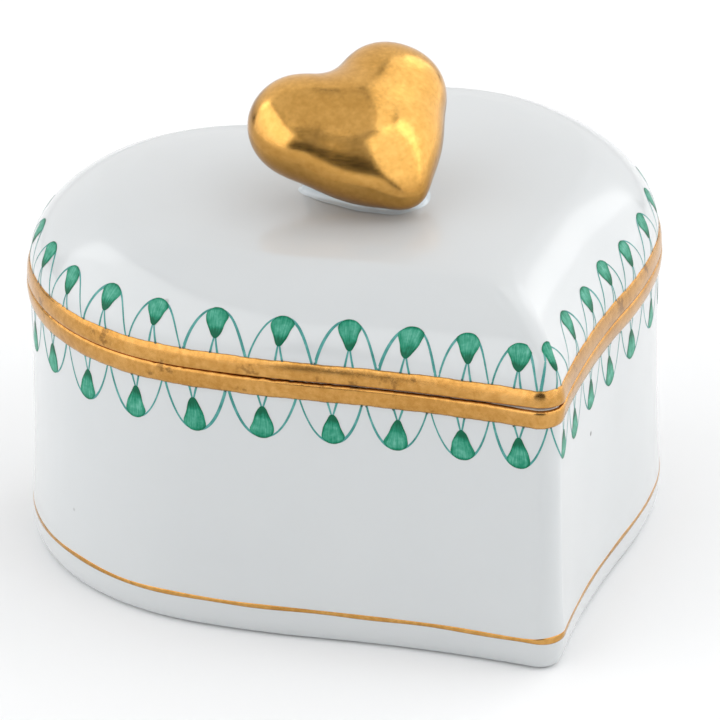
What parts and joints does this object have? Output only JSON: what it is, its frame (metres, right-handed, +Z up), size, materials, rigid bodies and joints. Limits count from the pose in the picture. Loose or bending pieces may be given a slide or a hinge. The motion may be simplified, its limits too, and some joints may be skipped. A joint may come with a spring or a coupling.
{
  "type": "heart-shaped porcelain trinket box",
  "caption": "Heart-shaped porcelain trinket box with a lift-off domed lid, gilt rim bands, a painted green scallop border and a puffy gilt heart knob.",
  "frame": {"origin": "centre of the bounding box on the standing plane, under the foot ring", "axes": "+Z up along the lid's lift; the heart's tip points to -Y and its cleft to +Y; +X is to the right when the tip faces the viewer"},
  "size_m": [0.067, 0.0675, 0.0535],
  "materials": {
    "porcelain": "glossy clear glaze over cool white porcelain",
    "gilt_porcelain": "burnished satin gold over porcelain",
    "slip": "glossy glaze pooled over slip",
    "gilding": "fired gold, satin"
  },
  "bodies": {
    "box": {"box_body": "porcelain", "box_gold_band": "gilding", "foot_gold_line": "gilding"},
    "lid": {"lid": "porcelain", "lid_gold_band": "gilding", "knob_seat": "slip", "heart_knob": "gilt_porcelain"}
  },
  "joints": [
    {"name": "lid_lift", "type": "slide", "parent": "box", "child": "lid", "axis": [0, 0, 1], "range_m": [0, 0.06]}
  ]
}
